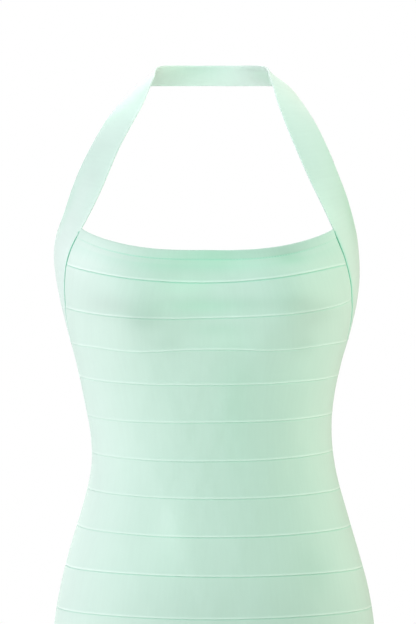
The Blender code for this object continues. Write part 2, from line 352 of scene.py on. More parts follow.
def addShell(name, points, alongU, aroundV, paintedShading, paintedShadingPatch, material):
    # a closed shell from a loop carried along a path: rows go round the loop, first up the outer face and then
    # down the inner one, and columns go along. Each end is closed by faces across the wall.
    loop, count = points.shape[:2]
    row, column = np.meshgrid(np.arange(loop), np.arange(count - 1), indexing="ij")
    after = (row + 1) % loop
    near, far = row * count + column, after * count + column
    corners = np.stack([near, near + 1, far + 1, far], -1)
    side = np.stack([column, column + 1, column + 1, column], -1)
    rise = np.stack([row, row, row + 1, row + 1], -1)
    corners, side, rise = corners.reshape(-1, 4), side.reshape(-1, 4), rise.reshape(-1, 4)
    low = np.arange(loop // 2 - 1)
    pairs = np.stack([low, loop - 1 - low, loop - 2 - low, low + 1], -1)
    corners = np.concatenate([corners, pairs * count + count - 1, pairs[:, ::-1] * count])
    side = np.concatenate([side, pairs * 0 + count - 1, pairs * 0])
    rise = np.concatenate([rise, pairs, pairs[:, ::-1]])
    mesh = bpy.data.meshes.new(name)
    mesh.vertices.add(loop * count)
    mesh.vertices.foreach_set("co", points.reshape(-1).astype(np.float32))
    mesh.loops.add(corners.size)
    mesh.loops.foreach_set("vertex_index", corners.reshape(-1).astype(np.int32))
    mesh.polygons.add(len(corners))
    mesh.polygons.foreach_set("loop_start", np.arange(0, corners.size, 4, dtype=np.int32))
    mesh.polygons.foreach_set("use_smooth", np.ones(len(corners), bool))
    mesh.update(calc_edges=True)
    place = mesh.uv_layers.new(name="clothPlace")
    aroundV = np.append(aroundV, aroundV[-1] + 1)
    spots = np.stack([alongU[side], aroundV[rise]], -1)
    place.uv.foreach_set("vector", spots.reshape(-1).astype(np.float32))
    # per point: painted shade in the seams and painted highlights on ridges and edges, then the soft patches of
    # painted light and shade
    shade = mesh.attributes.new("paintedShading", "FLOAT", "POINT")
    shade.data.foreach_set("value", np.ascontiguousarray(paintedShading, np.float32).reshape(-1))
    paintedPatchLayer = mesh.attributes.new("paintedShadingPatch", "FLOAT_VECTOR", "POINT")
    paintedPatchLayer.data.foreach_set("vector", np.ascontiguousarray(paintedShadingPatch, np.float32).reshape(-1))
    mesh.validate()
    return addPiece(name, mesh, material)


def meshArea(points):
    # the area of a grid of points: the sum of its quads' crossed diagonals over two.
    one = points[1:, 1:] - points[:-1, :-1]
    other = points[1:, :-1] - points[:-1, 1:]
    return float(np.linalg.norm(np.cross(one, other), axis=-1).sum() / 2)


def addNode(tree, kind, settings=None, **inputs):
    # a node with its settings, and its sockets set to numbers or linked to other nodes' outputs.
    made = tree.nodes.new(kind)
    for key, value in (settings or {}).items():
        setattr(made, key, value)
    for key, value in inputs.items():
        socket = made.inputs[int(key[1:])] if key[0] == "s" and key[1:].isdigit() else made.inputs[key]
        if isinstance(value, bpy.types.NodeSocket):
            tree.links.new(value, socket)
        else:
            socket.default_value = value
    return made


def mathNode(tree, what, a, b=0.0):
    # one sum on two sockets or numbers; the two below are its commonest ones.
    return addNode(tree, "ShaderNodeMath", {"operation": what}, s0=a, s1=b).outputs[0]


def times(tree, a, b):
    return mathNode(tree, "MULTIPLY", a, b)


def plus(tree, a, b):
    return mathNode(tree, "ADD", a, b)


def mixColors(tree, share, a, b):
    # red, green and blue of a where the share is 0 and of b where it is 1; a plain colour has three numbers.
    a, b = ((*color, 1) if isinstance(color, tuple) else color for color in (a, b))
    made = addNode(tree, "ShaderNodeMix", {"data_type": "RGBA"}, s0=share, s6=a, s7=b)
    return made.outputs[2]


def newMaterial(name):
    # a material, its node tree and its surface shader.
    material = bpy.data.materials.new(name)
    material.use_nodes = True
    return material, material.node_tree, material.node_tree.nodes["Principled BSDF"]


# bandage knit: colours in linear light, sizes in mm, and how strongly each thing shades the colour
knit = {
    "color": (0.50, 0.71, 0.60),
    "paintedShadeColor": (0.10, 0.64, 0.41),
    "paintedShadeShare": 0.75,
    "paintedLightColor": (0.76, 0.95, 0.86),
    "paintedLightShare": 0.4,
    "greenColor": (0.38, 0.70, 0.52),
    "strapColor": (0.53, 0.73, 0.63),
    "rib": 1.25,  # spacing of the upright ribs
    "ribShade": 0.012,
    "ribHeight": 0.5,  # share of the bump
    "row": 0.9,  # spacing of the rows
    "rowHeight": 0.25,
    "streakScale": (0.34, 0.022, 1),  # faint upright streaks, per mm
    "streakShade": 0.05,
    "streakRoughness": 0.08,
    "fuzzScale": 2.2,  # per mm
    "fuzzHeight": 0.8,
    "slowScale": 9.0,  # slow changes over the dress, per metre
    "slowShade": 0.05,
    "plainShade": 0.95,
    "bump": 0.04,
    "bumpStrength": 0.6,
    "roughness": 0.79,
    "sheen": 0.15,
    "sheenRoughness": 0.5,
    "specular": 0.25,
}


def knitMaterial(name, color):
    # mint knit: upright ribs and fine rows from the cloth's own map in mm, faint upright streaks, slow changes of
    # colour over the dress, painted shade down in the seams, painted highlights on their ridges, and painted light and
    # shade in patches.
    material, tree, shader = newMaterial(name)
    place = addNode(tree, "ShaderNodeUVMap", {"uv_map": "clothPlace"}).outputs[0]
    split = addNode(tree, "ShaderNodeSeparateXYZ", s0=place)
    whole = addNode(tree, "ShaderNodeTexCoord").outputs["Object"]
    paintedShading = addNode(tree, "ShaderNodeAttribute", {"attribute_name": "paintedShading"}).outputs["Fac"]
    paintedShadingPatch = addNode(tree, "ShaderNodeAttribute", {"attribute_name": "paintedShadingPatch"}).outputs["Vector"]
    greener, paintedLightAndShadeSum, _ = addNode(tree, "ShaderNodeSeparateXYZ", s0=paintedShadingPatch).outputs

    ribs = mathNode(tree, "SINE", times(tree, split.outputs[0], 2 * np.pi / knit["rib"]))
    rows = mathNode(tree, "SINE", times(tree, split.outputs[1], 2 * np.pi / knit["row"]))
    stretched = addNode(tree, "ShaderNodeMapping", s0=place)
    stretched.inputs["Scale"].default_value = knit["streakScale"]
    streaks = addNode(tree, "ShaderNodeTexNoise", s0=stretched.outputs[0], Scale=1.0, Detail=3.0).outputs["Fac"]
    fuzz = addNode(tree, "ShaderNodeTexNoise", s0=place, Scale=knit["fuzzScale"], Detail=2.0).outputs["Fac"]
    slow = addNode(tree, "ShaderNodeTexNoise", s0=whole, Scale=knit["slowScale"], Detail=2.0).outputs["Fac"]

    # above 0 the tone is painted shade deep in a seam, and tone or greenness below 0 is painted light
    paintedShade = mathNode(tree, "MAXIMUM", paintedShading, 0.0)
    paintedLight = mathNode(tree, "MAXIMUM", times(tree, paintedShading, -1.0), 0.0)
    paintedLight = plus(tree, paintedLight, mathNode(tree, "MAXIMUM", times(tree, greener, -1.0), 0.0))
    base = mixColors(tree, greener, color, knit["greenColor"])
    base = mixColors(tree, times(tree, paintedLight, knit["paintedLightShare"]), base, knit["paintedLightColor"])
    base = mixColors(tree, times(tree, paintedShade, knit["paintedShadeShare"]), base, knit["paintedShadeColor"])
    vary = plus(tree, times(tree, streaks, knit["streakShade"]), times(tree, slow, knit["slowShade"]))
    vary = plus(tree, vary, times(tree, ribs, knit["ribShade"]))
    # the patches' gains and losses of brightness are painted light and shade
    vary = plus(tree, plus(tree, vary, knit["plainShade"]), paintedLightAndShadeSum)
    shown = addNode(tree, "ShaderNodeVectorMath", {"operation": "SCALE"}, s0=base, s3=vary).outputs[0]
    tree.links.new(shown, shader.inputs["Base Color"])

    tall = plus(tree, times(tree, ribs, knit["ribHeight"]), times(tree, rows, knit["rowHeight"]))
    tall = plus(tree, tall, times(tree, fuzz, knit["fuzzHeight"]))
    bump = addNode(tree, "ShaderNodeBump", s0=knit["bumpStrength"], s1=knit["bump"] * mm, Height=tall)
    tree.links.new(bump.outputs[0], shader.inputs["Normal"])
    rough = plus(tree, knit["roughness"], times(tree, streaks, knit["streakRoughness"]))
    tree.links.new(rough, shader.inputs["Roughness"])
    shader.inputs["Sheen Weight"].default_value = knit["sheen"]
    shader.inputs["Sheen Roughness"].default_value = knit["sheenRoughness"]
    shader.inputs["Specular IOR Level"].default_value = knit["specular"]
    return material


bandKnit = knitMaterial("bandKnit", knit["color"])
strapKnit = knitMaterial("strapKnit", knit["strapColor"])

# thread: the same mint, a little deeper, with a slight gloss, a painted highlight on its plies and a twist; sizes in
# mm
thread = {
    "color": (0.50, 0.75, 0.63),
    "tackColor": (0.25, 0.62, 0.46),
    "paintedHighlightColor": (0.7, 0.92, 0.82),
    "paintedHighlightShare": 0.25,
    "twist": 0.7,
    "bump": 0.05,
    "bumpStrength": 0.5,
    "roughness": 0.6,
    "sheen": 0.2,
}


def threadMaterial(name, color):
    # slanting waves for the plies, with a painted highlight on their tops; the wave's own bands come 0.3 of its scale
    # apart.
    material, tree, shader = newMaterial(name)
    whole = addNode(tree, "ShaderNodeTexCoord").outputs["Object"]
    fine = 0.3 / (thread["twist"] * mm)
    plies = addNode(tree, "ShaderNodeTexWave", {"bands_direction": "DIAGONAL"}, s0=whole, Scale=fine).outputs["Fac"]
    base = mixColors(tree, times(tree, plies, thread["paintedHighlightShare"]), color, thread["paintedHighlightColor"])
    tree.links.new(base, shader.inputs["Base Color"])
    bump = addNode(tree, "ShaderNodeBump", s0=thread["bumpStrength"], s1=thread["bump"] * mm, Height=plies)
    tree.links.new(bump.outputs[0], shader.inputs["Normal"])
    shader.inputs["Roughness"].default_value = thread["roughness"]
    shader.inputs["Sheen Weight"].default_value = thread["sheen"]
    return material


hemThread = threadMaterial("hemThread", thread["color"])
tackThread = threadMaterial("tackThread", thread["tackColor"])
print("materials made")

# seams from the top, in mm and degrees
seams = {
    # height at the side and at the centre, power of the rise, dip under the cups, tilt (how much higher on the
    # wearer's left and lower on the right), how open the groove is, how strong the seam stays at the wearer's
    # right side, and its ends
    "front": (
        (698.8, 669.8, 3.6, 0, -0.4, 0, 1, (61, 2.2, 2.4, 6)),
        (656.4, 636.9, 2.3, 0, 1.5, 1.0, 1, (66.5, -0.9, 2.4, 5)),
        (612.7, 600.8, 3, 0, 3, 0.35, 1, (73, 5.0, 0, 20)),
        (572.5, 568.5, 4, 2.6, 1.2, 0.0, 0.7, "plain"),
        (537.6, 532, 4, 0, 0.5, 0.05, 0.6, "plain"),
        (497.9, 493.6, 5, 0, 1, 0.1, 0.4, "plain"),
        (459.4, 454, 3.5, 0, 0.7, 0.1, 0.45, "plain"),
        (421.4, 416.1, 3, 0, 0, 0.2, 0.4, "plain"),
        (383.3, 377.7, 3, 0, 0, 0.5, 0.55, "plain"),
        (341.3, 338.2, 2, 0, -0.8, 0.5, 0.9, "plain"),
        (299, 295.6, 2, 0, 0, 0.4, 0.9, "plain"),
    ),
    "back": (
        (632, 606, 2, 0, 0, 0, 1, "plain"),
        (572.7, 561, 2, 0, 1.2, 0.25, 1, "plain"),
        (538, 529, 2, 0, 0.5, 0.2, 1, "plain"),
        (498.5, 491.5, 2, 0, 1, 0.2, 1, "plain"),
        (460, 455.5, 2, 0, 0.7, 0.2, 1, "plain"),
        (420.8, 418, 2, 0, 0, 0.2, 1, "plain"),
        (383.8, 381, 2, 0, 0, 0.2, 1, "plain"),
        (341.5, 339.5, 2, 0, 0, 0.2, 1, "plain"),
        (299, 297, 2, 0, 0, 0.2, 1, "plain"),
    ),
    # a seam's ends: their angle, a short rise there on the wearer's left and right, and how far from an end the
    # ridge has its full height
    "plain": (90, 0, 0, 12),
    "skirtBands": 7,
    "riseReach": 5.5,  # degrees over which the short rise at an end dies away
}


def namedSeam(row):
    # a row of the table as a dictionary, with its ends filled in.
    names = ("side", "centre", "power", "dip", "tilt", "groove", "strength")
    angle, riseLeft, riseRight, fade = seams["plain"] if row[-1] == "plain" else row[-1]
    ends = {"endAngle": angle, "riseLeft": riseLeft, "riseRight": riseRight, "fade": fade}
    return {**dict(zip(names, row)), **ends}


def withSkirt(rows):
    # the seams with the skirt's equal bands added: the hip seam's heights in equal steps down to the hem.
    rows = [namedSeam(row) for row in rows]
    shares = np.arange(seams["skirtBands"] - 1, -1, -1) / seams["skirtBands"]
    hip = rows[-1]
    return rows + [{**hip, "side": hip["side"] * share, "centre": hip["centre"] * share} for share in shares]


def seamHeight(seam, angle):
    # centre height, plus the rise to the side as a power of the sine, the dip under the cups, the tilt, and a
    # short exponential rise at each end.
    sine = np.sin(angle)
    beyond = np.degrees(np.arctan2(np.abs(sine), np.cos(angle))) - seam["endAngle"]
    short = np.exp(np.minimum(beyond, 0) / seams["riseReach"])
    short = np.where(sine > 0, seam["riseLeft"], seam["riseRight"]) * short
    curve = seam["centre"] + (seam["side"] - seam["centre"]) * np.abs(sine) ** seam["power"]
    return curve - seam["dip"] * cupShare(angle) + seam["tilt"] * sine + short


# the halter strap from the under-bust seam to the nape: heights in mm and angles in degrees of both edges
strap = {
    "rows": (
        (615, 72.2, 632, 90),
        (654, 66.2, 673, 82),
        (687.6, 61.4, 700, 76.5),
        (715, 59.6, 722, 75.0),
        (745, 59.8, 750, 74.2),
        (775, 60.8, 778.5, 74.8),
        (803, 62.4, 803, 78.8),
        (822, 64.7, 817, 84.5),
        (838, 68, 825, 88.5),
        (848, 78, 829, 93.5),
        (853, 92, 832, 103),
        (855, 106, 834, 112.5),
        (856, 125, 835, 127.5),
        (856, 150, 835, 151),
        (856, 180, 835, 180),
    ),
    "endHeight": 572.7,  # of its lower end, on the under-bust seam
    "endInnerAngle": 81.5,
    "endOuterAngle": 90,
    "cornerPlace": 2,  # row of the neckline's corner
    "rowRise": 30,  # mm that the line beside the bands rises for each row above the corner
    "lowPlace": -1,  # place of the lower end, a row below the first
    "stations": 190,  # along each half
    "gap": 0.15,  # to the bands beside it
    "stitchInset": 3.0,
    "stitchFade": 24,  # mm below the corner over which the inner stitch line fades
    "rowPitch": 33,  # mm from one row of the table to the next, below the corner
    # lower end, carried over the next seam's bead: mm from the end line, and how full the cloth's thickness is
    "endRows": (0.02, 0.06, 0.15, 0.35, 0.7, 1.1, 1.6, 2.1, 2.7, 3.4, 4.4, 5.8, 7.5),
    "endRound": ((0.02, 0.06, 0.15, 0.35, 0.7), (0.15, 0.45, 0.65, 0.88, 1)),
    "endPitch": 50,  # mm from the lower end to the first row
    # cross-section at an edge: inset from the edge, outer and inner face off the figure, stitch dent, tone (below 0 a
    # painted highlight along the edge)
    "edge": (
        (0.00, -0.52, -0.68, 0, -0.8),
        (0.04, -0.34, -0.86, 0, -0.8),
        (0.16, -0.13, -1.09, 0, -0.8),
        (0.40, 0.04, -1.28, 0, -0.7),
        (0.80, 0.15, -1.40, 0, -0.55),
        (1.40, 0.20, -1.42, 0, -0.4),
        (2.20, 0.20, -1.41, 0.01, -0.25),
        (2.70, 0.20, -1.40, 0.06, -0.1),
        (3.00, 0.20, -1.40, 0.10, 0),
        (3.35, 0.20, -1.40, 0.06, -0.1),
        (4.10, 0.20, -1.40, 0.01, 0),
        (5.60, 0.20, -1.40, 0, 0),
    ),
    # how strong the painted highlight along the edges is at the wearer's right and left
    "paintedLightEdge": (1.0, 0.5),  # how strong the pale edge is at the wearer's right and left
    # small turns of the edges, in degrees, that shift it to the wearer's sides: place, then the inner and outer
    # edge at the wearer's right, then at the left
    "sway": (
        (-1, 0, 0, 0, 0),
        (2, 0, 0, 0, 0),
        (3, 0.05, 0.4, -0.15, 0),
        (4, 0.2, 0, -0.35, 0),
        (4.5, 0.28, -0.4, -0.2, 0.45),
        (5, 0.35, -0.6, -0.1, 0.5),
        (5.5, 0.3, -0.75, -0.1, 0.3),
        (6, 0.35, -0.5, -0.1, 0.05),
        (7, 0.4, 0, -0.5, 0),
        (8, 0.3, 0, -0.5, 0),
        (9.5, 0, 0, 0, 0),
        (14, 0, 0, 0, 0),
    ),
    "middleRows": 9,
    # towards the nape it is painted paler, as painted light from above: rows from which and to which, how much, and
    # rows over which its outer face turns back to the common colour
    "paintedLight": {"from": 3.0, "to": 7.5, "share": 1.42, "turnFrom": 8.0, "turnTo": 10.5},
}


def strapEdges(place, right=0):
    # heights and angles of both edges along the strap: straight from its lower end to the underarm (place -1 to
    # 0), and the smooth curve through the rows of the table from there to the nape.
    known = np.array(strap["rows"], float)
    above = np.maximum(place, 0)
    smooth = [smoothCurve(above, np.arange(len(known)), known[:, k]) for k in range(4)]
    ends = (strap["endHeight"], strap["endInnerAngle"], strap["endHeight"], strap["endOuterAngle"])
    below = np.clip(-place, 0, 1)
    innerHeight, innerAngle, outerHeight, outerAngle = (blend(curve, end, below) for curve, end in zip(smooth, ends))
    known = np.array(strap["sway"], float)
    swaying = place > strap["cornerPlace"]
    shift = [smoothCurve(place, known[:, 0], known[:, k]) * swaying for k in (1, 2, 3, 4)]
    innerAngle = innerAngle + shift[0] * right + shift[2] * (1 - right)
    outerAngle = outerAngle + shift[1] * right + shift[3] * (1 - right)
    return innerHeight, np.radians(innerAngle), outerHeight, np.radians(outerAngle)


def strapSideAngle(height):
    # the angle of the seam between the strap and the front bands: straight lines between 80 places up to the
    # corner and a little beyond.
    place = np.linspace(strap["lowPlace"], strap["cornerPlace"] + 0.4, 80)
    heights, angles, _, _ = strapEdges(np.minimum(place, strap["cornerPlace"]))
    heights = heights + np.maximum(place - strap["cornerPlace"], 0) * strap["rowRise"]
    return np.interp(height, heights, angles)


# one band: its cross-section at its lower edge, upper edge and hems, and how it ends at its sides, in mm
band = {
    "middleRows": 7,
    "columns": 112,
    "stretch": 1.10,  # worn length over cut length
    # height above the seam, outer face, inner face, tone (1 painted shade deep in the seam, below 0 a painted
    # highlight on the ridge)
    "ridge": (
        (-0.06, -0.34, -0.86, 0.30),
        (-0.03, -0.18, -1.06, 0.24),
        (0.08, -0.02, -1.22, 0.14),
        (0.26, 0.13, -1.33, 0.02),
        (0.50, 0.26, -1.38, -0.35),
        (0.80, 0.33, -1.40, -0.75),
        (1.15, 0.32, -1.40, -0.90),
        (1.55, 0.23, -1.40, -0.75),
        (2.05, 0.10, -1.40, -0.3),
        (2.80, 0.00, -1.40, 0.0),
        (4.00, -0.03, -1.40, 0.03),
        (6.00, 0.00, -1.40, 0),
    ),
    # height above the upper seam, with the groove shut and open
    "tuckShut": (
        (-4.00, 0.00, -1.40, 0),
        (-2.60, 0.00, -1.40, 0),
        (-1.80, 0.00, -1.42, 0),
        (-1.25, -0.02, -1.48, 0.02),
        (-0.80, -0.05, -1.60, 0.05),
        (-0.45, -0.10, -1.85, 0.08),
        (-0.15, -0.20, -2.15, 0.15),
        (0.10, -0.50, -2.50, 0.35),
        (0.45, -1.30, -2.80, 0.8),
        (1.40, -1.52, -2.92, 1),
        (2.30, -1.66, -2.80, 1),
        (2.50, -2.00, -2.50, 1),
    ),
    "tuckOpen": (
        (-5.20, 0.00, -1.40, 0),
        (-3.60, 0.02, -1.40, -0.05),
        (-2.60, 0.01, -1.42, -0.05),
        (-1.90, -0.03, -1.50, 0.0),
        (-1.40, -0.08, -1.70, 0.06),
        (-0.95, -0.16, -2.00, 0.22),
        (-0.55, -0.26, -2.30, 0.38),
        (-0.15, -0.42, -2.60, 0.55),
        (0.40, -1.35, -2.85, 1),
        (1.40, -1.52, -2.92, 1),
        (2.30, -1.66, -2.80, 1),
        (2.50, -2.00, -2.50, 1),
    ),
    # turned hem: distance in from the edge; its tone is a painted highlight on the rolled edge and painted shade
    # inside the hem and in its stitch groove
    "hem": (
        (0.00, -0.86, -1.14, -0.8),
        (0.06, -0.58, -1.42, -0.7),
        (0.25, -0.24, -1.78, -0.5),
        (0.60, 0.02, -2.06, -0.2),
        (1.20, 0.20, -2.22, 0.12),
        (2.40, 0.27, -2.27, 0.20),
        (4.60, 0.26, -2.28, 0.15),
        (8.00, 0.20, -2.26, 0.10),
        (8.90, 0.06, -2.20, 0.20),
        (9.45, -0.12, -2.10, 0.46),
        (9.95, -0.16, -1.85, 0.38),
        (10.7, -0.08, -1.55, 0.16),
        (12.3, -0.05, -1.42, 0.12),
        (14.5, 0.00, -1.40, 0.10),
    ),
    "hemStitchInset": 9.6,
    # how strong the painted shade in a plain hem is
    "hemPaintedShadeShare": 0.7,  # how deep a plain hem's colour is
    # the same for the neckline: angle in degrees, share; then the painted shade on its fold, and how strong the
    # painted shade in its stitch line is
    "necklinePaintedShadeShare": ((-20, 0), (-8, 0.05), (10, 0.1), (27, 0.35), (40, 0.55), (52, 0.35), (61, 0.15)),
    "necklineFoldPaintedShade": ((-20, 0), (-8, 0.02), (0, 0.035), (11, 0.07), (26, 0.07), (38, 0.11), (46, 0.07), (54, 0.01), (61, 0)),
    "hemLine": ((-61, 0.3), (-35, 1), (38, 1), (61, 0.3)),
    # ends: distance beyond the end line, dip of the cloth, share of its thickness left, tone (above 0 painted shade
    # down in the groove at the end, below 0 a painted highlight)
    "tuckedEnd": (
        (-6.0, 0.00, 1, 0),
        (-4.2, 0.02, 1, -0.03),
        (-3.0, 0.02, 1, -0.05),
        (-2.3, 0.00, 1, 0.05),
        (-1.8, -0.04, 1, 0.14),
        (-1.4, -0.10, 1, 0.28),
        (-1.0, -0.22, 1, 0.48),
        (-0.6, -0.45, 1, 0.68),
        (-0.1, -1.15, 1, 1),
        (0.6, -1.75, 1, 1),
        (1.8, -1.85, 1, 1),
        (2.5, -1.90, 0.8, 1),
        (2.7, -1.95, 0.3, 1),
    ),
    "roundEnd": (
        (-6.0, 0.00, 1, 0),
        (-3.6, 0.00, 1, 0),
        (-2.2, 0.06, 1, -0.1),
        (-1.4, 0.08, 1, -0.1),
        (-0.9, 0.05, 1, 0.05),
        (-0.6, 0.00, 0.93, 0.25),
        (-0.38, -0.04, 0.77, 0.5),
        (-0.24, -0.08, 0.52, 0.8),
        (-0.17, -0.10, 0.30, 1),
        (-0.15, -0.10, 0.12, 1),
    ),
    # how strong the painted shade in the side seams' grooves is
    "sideSeamPaintedShadeShare": 0.7,  # how deep the side seams' colour is
    # how strong the painted shade of the seams is on the inner face
    "innerFacePaintedShadeShare": 0.3,  # how deep the inner face's colour is
    "pitch": 40,  # usual height of a band
    "ridgeFade": (1.0, 0.25),  # mm from an end where the ridge starts to rise, and its least height
    "calmSide": (15, 40),  # degrees to the wearer's right where the ridge starts to sink, and over how many
    # where painted shade lies on the neckline's turned fold: mm in, share
    "fold": ((0.6, 1.5, 8.9, 10), (0, 1, 1, 0)),  # where the neckline's turned hem is darker: mm in, share
    # how strong the seam beside the strap looks, in its dip and its painted shade: height, at the wearer's right, at
    # the wearer's left
    "sideStrength": (
        (560, 0.2, 0.3),
        (590, 0.5, 0.9),
        (615, 0.8, 1.4),
        (640, 0.95, 1.3),
        (655, 1.1, 1.1),
        (674, 1.2, 1.15),
        (681, 0.8, 1.0),
        (688, 0.1, 0.4),
    ),
}


def endAngles(lower, upper, shares, side):
    # turn from the middle to where lines across a band meet the strap, by repeated putting in of the height.
    angle = np.full(len(shares), np.radians(75))
    for _ in range(50):
        low, high = seamHeight(lower, side * angle), seamHeight(upper, side * angle)
        angle = strapSideAngle(low + (high - low) * shares)
    return angle


def beside(angle, height):
    # how strong the seam beside the strap looks at a height, on each side, in its dip and its painted shade.
    heights, right, left = np.array(band["sideStrength"], float).T
    return np.where(angle < 0, np.interp(height, heights, right), np.interp(height, heights, left))


def tableAt(angle, key):
    # a value of one of the neckline's tables: straight lines between its angles in degrees
    return np.interp(np.degrees(angle), *np.array(band[key]).T)


def bandSection(groove, top, bottom):
    # the band's cross-section from its lower to its upper edge: for each row its share of the band's width,
    # offset from that seam, outer and inner face, tone, and whether the row belongs to the lower ridge.
    lowPart = np.array(band["hem"] if bottom else band["ridge"], float)
    shut, wide = np.array(band["tuckShut"], float), np.array(band["tuckOpen"], float)
    highPart = blend(shut, wide, groove)
    if top:
        highPart = np.array(band["hem"], float)[::-1] * (-1, 1, 1, 1)
    share = np.linspace(0, 1, band["middleRows"] + 2)[1:-1, None]
    middle = blend(lowPart[-1], highPart[0], share)
    shares = np.concatenate([np.zeros(len(lowPart)), share[:, 0], np.ones(len(highPart))])
    isLow = np.concatenate([np.full(len(lowPart), 0.0 if bottom else 1.0), np.zeros(len(middle) + len(highPart))])
    return shares, np.concatenate([lowPart, middle, highPart]), isLow


def bandPlaces(lower, upper, centre, shares, offset, endRows, onStrap):
    # turn round the figure for each row and column of a band, and each row's distance from its nearer end in mm:
    # columns follow the end's profile at both ends and are evenly spread between.
    limits, ends, steps = [], [], []
    for side in (-1, 1):
        if onStrap:
            limit = endAngles(lower, upper, np.clip(shares + offset / band["pitch"], -0.1, 1.1), side)
        else:
            limit = np.full(len(shares), np.pi / 2)
        low, high = seamHeight(lower, centre + side * limit), seamHeight(upper, centre + side * limit)
        step = turnFor(centre + side * limit, low + (high - low) * shares + offset, 1.0)
        limits.append(limit)
        steps.append(step)
        ends.append(limit[:, None] + endRows * step[:, None])
    first, last = -ends[0][:, ::-1], ends[1]
    spread = np.linspace(0, 1, band["columns"] + 2)[1:-1]
    turn = np.concatenate([first, blend(first[:, -1:], last[:, :1], spread), last], axis=1)
    half = len(shares) // 2
    toLast = (limits[1][half] - turn[half]) / steps[1][half]
    toFirst = (turn[half] + limits[0][half]) / steps[0][half]
    return turn, np.minimum(toLast, toFirst)


def makeBand(name, lower, upper, centre, endKind, onStrap, top, bottom):
    # a band of knit: its cross-section carried round the figure from one side to the other.
    neckline = top and centre == 0
    shares, rows, isLow = bandSection(upper["groove"], top, bottom)
    offset, outer, inner, paintedShading = rows.T
    end = np.array(band[endKind], float)
    turn, fromEnd = bandPlaces(lower, upper, centre, shares, offset, end[:, 0], onStrap)
    dip, left, endPaintedShade = (np.interp(-fromEnd, end[:, 0], end[:, k]) for k in (1, 2, 3))
    angle = centre + turn
    low, high = seamHeight(lower, angle), seamHeight(upper, angle)
    height = low + (high - low) * shares[:, None] + offset[:, None]
    if onStrap:
        sideShare = beside(angle, height)
        dip = dip * (1 - (1 - sideShare) * np.clip((fromEnd + 0.1) / 0.6, 0, 1))
        endPaintedShade = endPaintedShade * sideShare
    else:
        endPaintedShade = endPaintedShade * band["sideSeamPaintedShadeShare"]

    # the ridges sink towards the ends and, on the front, towards the wearer's right
    calmFrom, calmOver = band["calmSide"]
    sideways = np.clip((-np.degrees(angle) - calmFrom) / calmOver, 0, 1) if centre == 0 else 0 * angle
    ridgeStart, least = band["ridgeFade"]
    strengths = []
    for seam in (lower, upper):
        fade = np.clip((fromEnd - ridgeStart) / (seam["fade"] - ridgeStart), least, 1)
        strengths.append(fade * (1 - (1 - seam["strength"]) * sideways))
    isHigh = np.where(top, 0, (shares > 0.999) & (offset < 0))[:, None]
    isLow = isLow[:, None]
    strong = 1 - isLow * (1 - strengths[0]) - isHigh * (1 - strengths[1])
    raised = np.maximum(outer, 0)[:, None] * strong
    raised = raised + np.minimum(outer, 0)[:, None] * (1 - isHigh * (1 - strong) * 0.6)

    middleFace = (raised + inner[:, None]) / 2
    outFace = middleFace + (raised - middleFace) * left + dip
    inFace = middleFace + (inner[:, None] - middleFace) * left + dip
    points = np.concatenate([clothPoint(angle, height, outFace), clothPoint(angle, height, inFace)[::-1]])
    # painted shade in the seams, hems and their grooves, and painted highlights on the ridges and edges
    shade = paintedShading[:, None] * strong
    if top or bottom:
        keys = ("necklinePaintedShadeShare", "hemLine")
        hemPaintedShadeDepth, lineShare = (tableAt(angle, key) if neckline else band["hemPaintedShadeShare"] for key in keys)
        inHem = (shares > 0.999 if top else shares < 0.001)[:, None] & (shade > 0)
        shade = shade * (1 - (1 - np.where(shade < 0.25, hemPaintedShadeDepth, lineShare)) * inHem)
    shade = np.where(endPaintedShade > 0, np.maximum(shade, endPaintedShade), shade + endPaintedShade * (shade <= 0))
    shade = np.concatenate([shade, np.clip(shade[::-1], 0, 1) * band["innerFacePaintedShadeShare"]])
    # painted light and shade in soft patches
    paintedShadingPatch = paintedShadingPatchShare(np.concatenate([angle, angle[::-1]]), np.concatenate([height, height[::-1]]))
    # painted shade on the neckline's turned fold
    if neckline:
        fromEdge = -offset * (shares > 0.999) + 99 * (shares < 0.999)
        foldPaintedShade = np.interp(fromEdge, *band["fold"])[:, None]
        paintedShadingPatch[: len(rows), :, 1] -= foldPaintedShade * tableAt(angle, "necklineFoldPaintedShade")
    alongU = walked(points[len(rows) // 2])
    aroundV = walked(points[:, points.shape[1] // 2])
    piece = addShell(name, points, alongU - alongU[-1] / 2, aroundV, shade, paintedShadingPatch, bandKnit)
    face = points[: len(rows)]
    width = alongU[-1] / band["stretch"] * mm
    longest = np.linalg.norm(np.diff(face, axis=0), axis=-1).sum(0).max()
    return piece, width, float(longest), meshArea(face) / band["stretch"]


frontSeams, backSeams = withSkirt(seams["front"]), withSkirt(seams["back"])
made = {}


def makeSide(side, rows, centre, onStrapCount):
    # a band between each two seams from the top; the first few end at the strap, and the others at the side seams.
    for k in range(len(rows) - 1):
        name = f"{side}_cloth_{k + 1:02d}"
        top, bottom = k == 0, k == len(rows) - 2
        ends = "tuckedEnd" if side == "front" or top else "roundEnd"
        piece, width, tall, area = makeBand(name, rows[k + 1], rows[k], centre, ends, k < onStrapCount, top, bottom)
        made[name] = piece
        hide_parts(f"{side}_band_{k + 1:02d}")


makeSide("front", frontSeams, 0.0, 3)
print("front bands made:", len(frontSeams) - 1)
makeSide("back", backSeams, np.pi, 0)
print("back bands made:", len(backSeams) - 1)


